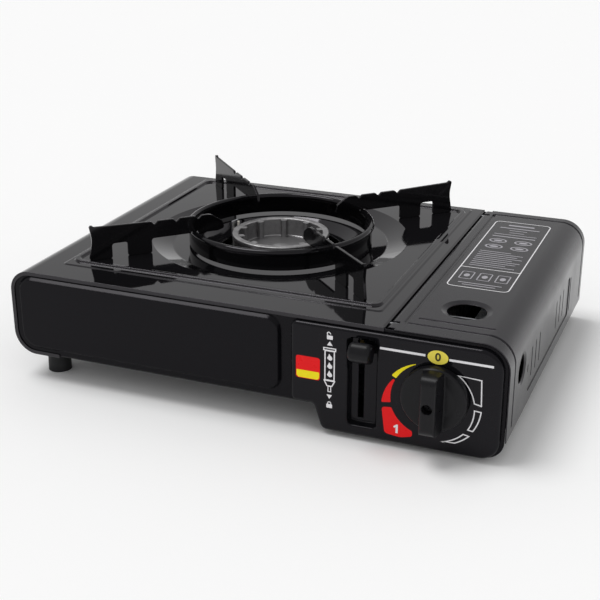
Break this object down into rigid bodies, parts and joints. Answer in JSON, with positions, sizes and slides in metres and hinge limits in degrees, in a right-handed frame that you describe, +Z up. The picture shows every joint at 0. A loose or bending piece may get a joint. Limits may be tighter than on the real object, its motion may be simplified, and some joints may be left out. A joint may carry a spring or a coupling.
{
  "type": "portable gas stove",
  "caption": "Portable butane cassette stove with a burner, star-shaped pan support, hinged cartridge lid, lever lock and ignition knob.",
  "frame": {"origin": "middle of the whole stove's footprint, knob included, on the table under its feet", "axes": "+Z up, +X to the right as seen from the front, and the front with the knob looks along -Y"},
  "size_m": [0.34, 0.268, 0.1022],
  "materials": {
    "black_enamel": "gloss enamel",
    "lid_enamel": "satin enamel",
    "black_plastic": "satin",
    "support_enamel": "gloss enamel",
    "galvanised_steel": "plated",
    "heat_plate_aluminium": "mill finish",
    "regulator_zinc": "cast",
    "burner_aluminium": "die cast",
    "brass": "turned",
    "rubber": "matt",
    "igniter_plastic": "moulded",
    "lead_cover": "soft",
    "electrode_ceramic": "glazed",
    "screws": "zinc plated"
  },
  "bodies": {
    "casing": {"top_plate": "black_enamel", "front_panel": "black_enamel", "rear_panel": "black_enamel", "base_pan": "black_enamel", "control_panel": "black_plastic", "heat_divider": "galvanised_steel", "lid_hinge_pins": "galvanised_steel", "lid_catch": "galvanised_steel", "cartridge_tray": "galvanised_steel", "regulator_bracket": "galvanised_steel", "jet_bracket": "galvanised_steel", "burner_bracket": "galvanised_steel", "electrode_bracket": "galvanised_steel", "clamp_guide_rods": "galvanised_steel", "lever_pivot_pin": "galvanised_steel", "heat_transfer_plate": "heat_plate_aluminium", "regulator_body": "regulator_zinc", "diaphragm_cover": "regulator_zinc", "burner_crown": "burner_aluminium", "burner_cup": "burner_aluminium", "mixing_tube": "burner_aluminium", "inlet_nozzle": "brass", "gas_pipe": "brass", "gas_jet": "brass", "inlet_seal": "rubber", "foot_front_left": "rubber", "foot_front_right": "rubber", "foot_rear_left": "rubber", "foot_rear_right": "rubber", "piezo_igniter": "igniter_plastic", "igniter_lead": "lead_cover", "spark_electrode": "electrode_ceramic", "regulator_screws": "screws", "burner_screws": "screws", "case_screws": "screws", "rear_screws": "screws", "control_panel_screws": "screws"},
    "lid": {"cartridge_lid": "lid_enamel"},
    "knob": {"knob": "black_plastic", "knob_screw": "screws", "valve_shaft": "galvanised_steel", "igniter_cam": "galvanised_steel"},
    "lever": {"lock_lever": "galvanised_steel", "lever_cap": "black_plastic"},
    "clamp": {"cartridge_clamp": "galvanised_steel"},
    "pan_support": {"pan_support_ring": "support_enamel", "pan_support_arm_front_left": "support_enamel", "pan_support_arm_front_right": "support_enamel", "pan_support_arm_rear_left": "support_enamel", "pan_support_arm_rear_right": "support_enamel"}
  },
  "joints": [
    {"name": "lid_hinge", "type": "hinge", "parent": "casing", "child": "lid", "pos_m": [0.0963, 0.011, 0.074], "axis": [0, -1, 0], "range_deg": [0, 95]},
    {"name": "knob_turn", "type": "hinge", "parent": "casing", "child": "knob", "pos_m": [0.127, -0.118, 0.0395], "axis": [0, -1, 0], "range_deg": [0, 135]},
    {"name": "lever_turn", "type": "hinge", "parent": "casing", "child": "lever", "pos_m": [0.0788, -0.088, 0.0425], "axis": [1, 0, 0], "range_deg": [0, 62.8]},
    {"name": "clamp_slide", "type": "slide", "parent": "casing", "child": "clamp", "axis": [0, -1, 0], "range_m": [0, 0.0077]},
    {"name": "pan_support_lift", "type": "slide", "parent": "casing", "child": "pan_support", "axis": [0, 0, 1], "range_m": [0, 0.08]}
  ],
  "couplings": [
    {"joint": "clamp_slide", "follows": "lever_turn", "m_per_rad": 0.00694}
  ]
}
